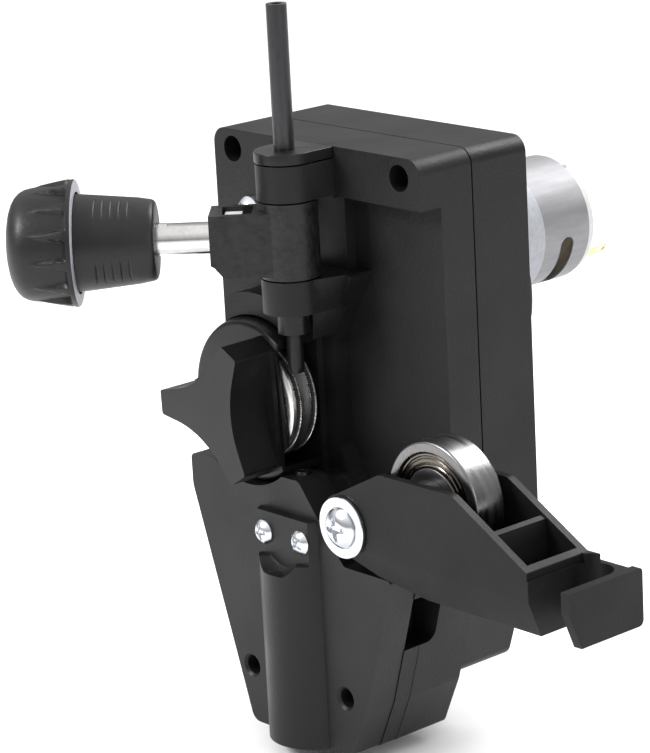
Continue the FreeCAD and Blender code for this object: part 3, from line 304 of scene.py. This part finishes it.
def second_finish(o, finish, chosen):
    """Puts another finish on the faces for which chosen(centre in millimetres) holds."""
    o.data.materials.append(FINISH[finish])
    for polygon in o.data.polygons:
        if chosen(polygon.center / MM):
            polygon.material_index = 1


def dense(profile, step):
    """The same closed outline, its longer sides divided so that no gap reaches twice the step."""
    out = []
    for (a, r), (b, s) in zip(profile, profile[1:] + profile[:1]):
        count = max(1, int(math.hypot(b - a, s - r) / step))
        out += [(a + (b - a) * k / count, r + (s - r) * k / count) for k in range(count)]
    return out


def moved(profile, start):
    """The same outline, start further along the axis."""
    return [(start + along, radius) for along, radius in profile]


# ---- tension knob cap ----------------------------------------------------------------------------
KNOB_START = 50.7
KNOB_RIM_R = 15.4
KNOB_STEP = 0.8
OPEN_END_DEPTH = 0.15
KNOB_RIBS = 13
RIB_PHASE = math.radians(-23.8)
RIB_FROM, RIB_TO = 1.6, 10.4
RIB_WALL_R = (13.2, 14.6)
RIB_WIDTH = 0.44
RIB_FLANK = 0.14
RIB_HEIGHT = 1.45

# distances are from the open end: the rim, the wall that the ribs stand on, then the dome
KNOB_OUTSIDE = [
    (0.0, 12.35), (0.0, 14.7), (0.2, 15.2), (0.7, KNOB_RIM_R), (1.3, 15.3), (1.7, 14.55),
    (2.0, 14.0), (5.0, 13.95), (8.6, 13.85), (10.8, 13.65), (12.4, 13.3), (13.7, 12.6),
    (14.7, 11.6), (15.5, 10.3), (16.1, 8.7), (16.6, 6.5), (16.9, 4.2), (17.05, 2.0), (17.1, 0.02),
]
KNOB_INSIDE = [(14.3, 0.02), (14.3, 9.6), (11.5, 12.0), (8.0, 12.35)]


def knob_shape(angle, along, radius):
    """Raised teardrop ribs that run from the rim and fade out towards the dome."""
    past = along - KNOB_START
    if not RIB_FROM < past < RIB_TO or not RIB_WALL_R[0] < radius < RIB_WALL_R[1]:
        return radius, along
    turn = ((angle - RIB_PHASE) * KNOB_RIBS / (2 * math.pi) + 0.5) % 1.0
    offset = abs(turn - 0.5) * 2
    left = 1 - (past - RIB_FROM) / (RIB_TO - RIB_FROM)
    width = RIB_WIDTH * left ** 0.6
    side = min(1.0, max(0.0, (width - offset) / RIB_FLANK))
    height = RIB_HEIGHT * left ** 0.9
    return min(KNOB_RIM_R, radius + height * side * side * (3 - 2 * side)), along


def painted_reflection_on_open_end(centre):
    """Holds for the flat ring round the cap's open end, which is painted pale grey as a reflection.
    """
    return centre.dot(Vector(SCREW_DIRECTION)) < KNOB_START + OPEN_END_DEPTH


knob_outline = dense(moved(KNOB_OUTSIDE + KNOB_INSIDE, KNOB_START), KNOB_STEP)
cap = lathe("tension_knob_cap", knob_outline, SCREW_AXIS_START, SCREW_DIRECTION, "grip", "knob",
            "tension_knob", steps=24 * KNOB_RIBS, shape=knob_shape, sharp=40)
# the flat ring round the open end is painted pale grey as a reflection of the light, not the cap's
# own colour
second_finish(cap, "band", painted_reflection_on_open_end)


# ---- tension knob's sleeve -----------------------------------------------------------------------
SLEEVE_START, SLEEVE_END = 31.7, 52.2
TAPER_START, TAPER_START_R = 35.8, 10.38
TAPER_SLOPE = 0.098
TAPER_STEP = 0.13
TAPER_POINTS = 86
GRIP_PHASE = math.radians(16.8)
GRIP_BANDS = 4
GRIP_GROOVES = [37.7 + 2.0 * k for k in range(5)]
GRIP_DEPTH = 0.22
GRIP_HALF_WIDTH = 0.26
GRIP_BAND_FROM = 0.6


def sleeve_shape(angle, along, radius):
    """Fine grooves, broken by smooth bands along the grip."""
    band = 0.5 + 0.5 * math.cos((angle - GRIP_PHASE) * GRIP_BANDS)
    near = min(abs(along - groove) for groove in GRIP_GROOVES)
    open_here = min(1.0, max(0.0, band - GRIP_BAND_FROM) * 4)
    depth = GRIP_DEPTH * max(0.0, 1 - near / GRIP_HALF_WIDTH) * open_here
    return radius - depth, along


# a rounded end, the tapered grip, the end under the knob cap, then the spring's seat inside
sleeve_outline = moved([(0.0, 4.15), (0.0, 8.6), (0.15, 9.2), (0.5, 9.6), (1.1, 9.85), (2.0, 10.0)],
                       SLEEVE_START)
sleeve_outline += [(TAPER_START + TAPER_STEP * k, TAPER_START_R + TAPER_STEP * k * TAPER_SLOPE)
                   for k in range(TAPER_POINTS)]
sleeve_outline += [(SLEEVE_END, 11.95), (SLEEVE_END, 9.8)]
sleeve_outline += moved([(2.6, 8.0), (2.6, 4.15)], SLEEVE_START)
lathe("grip_sleeve", sleeve_outline, SCREW_AXIS_START, SCREW_DIRECTION, "grip", "sleeve",
      "tension_sleeve", steps=128, shape=sleeve_shape, sharp=50)


# ---- drive roll ----------------------------------------------------------------------------------
ROLL_R = 15.0
ROLL_WIDTH = 8.5
GROOVES = (2.1, 6.9)
GROOVE_FLOOR_R = 14.4
ROLL_TEETH = 180
TOOTH_HEIGHT = 0.16
TEETH_HALF_WIDTH = 0.75
DARK_HALF_WIDTH = 0.72
DARK_FROM_R = 13.9


def roll_shape(angle, along, radius):
    """Fine teeth across the floor of each groove."""
    in_teeth = any(abs(along - middle) < TEETH_HALF_WIDTH for middle in GROOVES)
    if radius == ROLL_R or not in_teeth:
        return radius, along
    top = int(angle * ROLL_TEETH / math.pi) % 2
    return radius + TOOTH_HEIGHT * (1 if top else -1), along


def in_groove(centre):
    """Holds for the faces of the grooves, but not for those of the bore and the flat sides."""
    along = centre.y - ROLL_FRONT[1]
    radius = math.hypot(centre.x - ROLL_FRONT[0], centre.z - ROLL_FRONT[2])
    near_groove = any(abs(along - middle) < DARK_HALF_WIDTH for middle in GROOVES)
    return radius > DARK_FROM_R and near_groove


roll_outline = [(0, 5.05), (0, 13.6), (0.12, 14.3), (0.5, 14.9), (0.8, ROLL_R)]
for middle in GROOVES:
    wall = [(0.85, ROLL_R), (0.7, 14.9), (0.5, 14.58), (0.2, GROOVE_FLOOR_R)]
    roll_outline += [(middle - off, radius) for off, radius in wall]
    roll_outline += [(middle + off, radius) for off, radius in reversed(wall)]
roll_outline += [(7.95, ROLL_R), (8.1, 14.9), (8.4, 14.4), (ROLL_WIDTH, 13.6), (ROLL_WIDTH, 5.05)]
roll = lathe("grooved_roll", roll_outline, ROLL_FRONT, BACKWARD, "roll", "drive", "drive_roll",
             steps=4 * ROLL_TEETH, shape=roll_shape, sharp=30)
second_finish(roll, "groove", in_groove)


# ---- bearing shields -----------------------------------------------------------------------------
BEARING_WIDTH = 9.0
SHIELD_INSET = 0.9

# from the lip by the outer ring to the bead by the inner one, distances counted outwards
SHIELD_OUTLINE = [
    (0.0, 12.0), (0.34, 12.0), (0.40, 11.9), (0.40, 11.55), (0.16, 11.3), (0.14, 10.9),
    (0.30, 10.6), (0.32, 9.9), (0.22, 9.75), (0.22, 9.5), (0.38, 9.3), (0.40, 8.98), (0.34, 8.9),
    (0.0, 8.9),
]
for outward, inset in ((FORWARD, SHIELD_INSET), (BACKWARD, BEARING_WIDTH - SHIELD_INSET)):
    place = (BEARING_FRONT[0], BEARING_FRONT[1] + inset, BEARING_FRONT[2])
    lathe("stepped_shield", SHIELD_OUTLINE, place, outward, "shield", "bearing", "bearing_shields",
          steps=160, sharp=25)


# ---- cross-recess screws -------------------------------------------------------------------------
HEAD_RINGS = 34
HEAD_STEPS = 120
DOME_DROP, DOME_POWER = 0.72, 2.3
RECESS_EDGE = 0.12
RECESS_WIDE, RECESS_NARROWING = 1.15, 0.45
RECESS_SHALLOWING = 0.35


def cross_mask(x, y, arm, half):
    """1 inside a cross whose arms are arm long and half wide each side, fading at its edges."""
    inside = 0.0
    for u, v in ((x, y), (y, x)):
        taper = half * (RECESS_WIDE - RECESS_NARROWING * abs(u) / arm)
        depth = min(arm - abs(u), taper - abs(v))
        inside = max(inside, min(1.0, max(0.0, depth / RECESS_EDGE)))
    return inside


def dome_profile(head_r, head_h, flat):
    """(Radius, height) points from the middle of a domed head, flat at first, to its rim."""
    profile = []
    for i in range(HEAD_RINGS + 1):
        t = i / HEAD_RINGS
        fall = max(0.0, (t - flat) / (1 - flat))
        profile.append((head_r * t, head_h * (1 - DOME_DROP * fall ** DOME_POWER)))
    return profile + [(head_r, head_h * 0.12), (head_r * 0.99, 0.0)]


def dome_screw(name, place, *replaced, head_r, head_h, flat, arm, half, depth, twist, base):
    """A domed screw head that faces forward, with a cross recess of the given arm length, half
    width and depth. base gives the (distance, radius) points of what is under it."""
    matrix = axis_frame(place, FORWARD)
    profile = dome_profile(head_r, head_h, flat) + [(r, z) for z, r in base]
    profile.append((0.02, profile[-1][1]))
    points = []
    for r, z in profile:
        for k in range(HEAD_STEPS):
            angle = 2 * math.pi * k / HEAD_STEPS
            x, y = r * math.cos(angle), r * math.sin(angle)
            u = x * math.cos(twist) + y * math.sin(twist)
            v = -x * math.sin(twist) + y * math.cos(twist)
            sink = depth * cross_mask(u, v, arm, half) * (1 - RECESS_SHALLOWING * r / arm)
            low = z - sink if r <= arm + 0.2 and z > head_h * 0.3 else z
            out = max(r, 0.01)
            points.append(matrix @ Vector((out * math.cos(angle), out * math.sin(angle), low)))
    last = (len(profile) - 1) * HEAD_STEPS
    faces = []
    for start in range(0, last, HEAD_STEPS):
        faces += ring_faces(start, start + HEAD_STEPS, HEAD_STEPS)
    faces.append(list(reversed(range(HEAD_STEPS))))
    faces.append(list(range(last, last + HEAD_STEPS)))
    return mesh_object(name, points, faces, "zinc", "frame", *replaced, sharp=40)


COVER_SCREW = (-24.5, 8.9, 128.6)
CLAMP_SCREW_X, CLAMP_SCREW_Y, CLAMP_SCREW_Z = 6.75, -7.4, 53.4
PIVOT_WASHER = on_axis("arm_swing", -9.05)
PIVOT_HEAD = on_axis("arm_swing", -10.0)

dome_screw("cover_screw_head", COVER_SCREW, "cover_screw", head_r=4.0, head_h=2.9, flat=0.15,
           arm=2.5, half=0.62, depth=1.7, twist=0.3, base=[(0.0, 1.5), (-6.9, 1.5)])
for side in (-1, 1):
    place = (side * CLAMP_SCREW_X, CLAMP_SCREW_Y, CLAMP_SCREW_Z)
    dome_screw("clamp_screw_head", place, "clamp_screws", head_r=3.05, head_h=1.9, flat=0.15,
               arm=1.9, half=0.5, depth=1.2, twist=0.5 + 0.4 * side,
               base=[(0.0, 1.5), (-3.8, 1.5)])
dome_screw("pivot_screw_head", PIVOT_HEAD, head_r=4.9, head_h=2.2, flat=0.2, arm=3.0, half=0.75,
           depth=1.6, twist=0.1, base=[(0.0, 4.6)])

# a rounded rim, then the dish that the head sits in
WASHER_OUTLINE = [
    (0.0, 2.52), (0.0, 7.5), (0.15, 7.62), (0.8, 7.62), (1.0, 7.45), (1.0, 5.2), (0.85, 5.0),
    (0.85, 4.0), (0.85, 2.52),
]
lathe("pivot_washer", WASHER_OUTLINE, PIVOT_WASHER, FORWARD, "zinc", "frame", "pivot_screw",
      steps=128)


# ---- camera, light and floor, in metres ----------------------------------------------------------
CAMERA_PLACE = (0.5603, -0.4779, 0.2988)
CAMERA_RIGHT = (0.66594, 0.74421, -0.05173)
CAMERA_BACK = (0.72673, -0.63152, 0.27026)
CAMERA_LENS = 150.8
CAMERA_SENSOR = 36.0
FLOOR_HALF = 6.0
FLOOR_Z = -0.004


def make_camera():
    data = bpy.data.cameras.new("camera")
    data.sensor_fit = "VERTICAL"
    data.sensor_height = CAMERA_SENSOR
    data.sensor_width = CAMERA_SENSOR
    data.lens = CAMERA_LENS
    data.clip_start = 0.01
    data.clip_end = 50.0
    camera = bpy.data.objects.new("camera", data)
    bpy.context.scene.collection.objects.link(camera)
    right = Vector(CAMERA_RIGHT).normalized()
    back = Vector(CAMERA_BACK).normalized()
    up = back.cross(right).normalized()
    turn = Matrix((right, up, back)).transposed().to_4x4()
    camera.matrix_world = Matrix.Translation(CAMERA_PLACE) @ turn
    bpy.context.scene.camera = camera


def make_sky():
    """A pale studio all round, darker below the object than above it."""
    world = bpy.data.worlds.new("studio")
    bpy.context.scene.world = world
    world.use_nodes = True
    sky = world.node_tree
    where = sky.nodes.new("ShaderNodeTexCoord")
    split = sky.nodes.new("ShaderNodeSeparateXYZ")
    sky.links.new(where.outputs["Generated"], split.inputs["Vector"])
    fade = sky.nodes.new("ShaderNodeValToRGB")
    stops = fade.color_ramp.elements
    stops[0].position, stops[0].color = 0.0, (0.20, 0.20, 0.21, 1)
    stops[1].position, stops[1].color = 0.75, (1.15, 1.15, 1.15, 1)
    stops.new(0.25).color = (0.55, 0.55, 0.56, 1)
    sky.links.new(split.outputs["Z"], fade.inputs["Fac"])
    sky.links.new(fade.outputs["Color"], sky.nodes["Background"].inputs["Color"])
    sky.nodes["Background"].inputs["Strength"].default_value = 1.0


def light(name, place, aim, size, power):
    """A round soft light that points from place to aim."""
    data = bpy.data.lights.new(name, "AREA")
    data.shape = "DISK"
    data.size = size
    data.energy = power
    o = bpy.data.objects.new(name, data)
    bpy.context.scene.collection.objects.link(o)
    o.location = place
    o.rotation_euler = (Vector(aim) - Vector(place)).to_track_quat("-Z", "Y").to_euler()


def make_floor():
    signs = ((-1, -1), (1, -1), (1, 1), (-1, 1))
    corners = [(x * FLOOR_HALF, y * FLOOR_HALF, FLOOR_Z) for x, y in signs]
    mesh = bpy.data.meshes.new("floor")
    mesh.from_pydata(corners, [], [(0, 1, 2, 3)])
    mesh.materials.append(material("floor_paper", (0.93, 0.93, 0.93), 0.9, grain=40, bump=0.01,
                                   mottle=0.01, patches=3))
    floor = bpy.data.objects.new("floor", mesh)
    bpy.context.scene.collection.objects.link(floor)


make_camera()
make_sky()
light("key", (-0.35, -0.75, 0.70), (0, 0, 0.08), 0.35, 9.0)
light("side", (0.85, -0.10, 0.35), (0, 0, 0.08), 0.30, 1.2)
light("rim", (0.10, 0.60, 0.70), (0, 0, 0.1), 0.5, 6.0)
bpy.context.scene.view_settings.view_transform = "Standard"
make_floor()
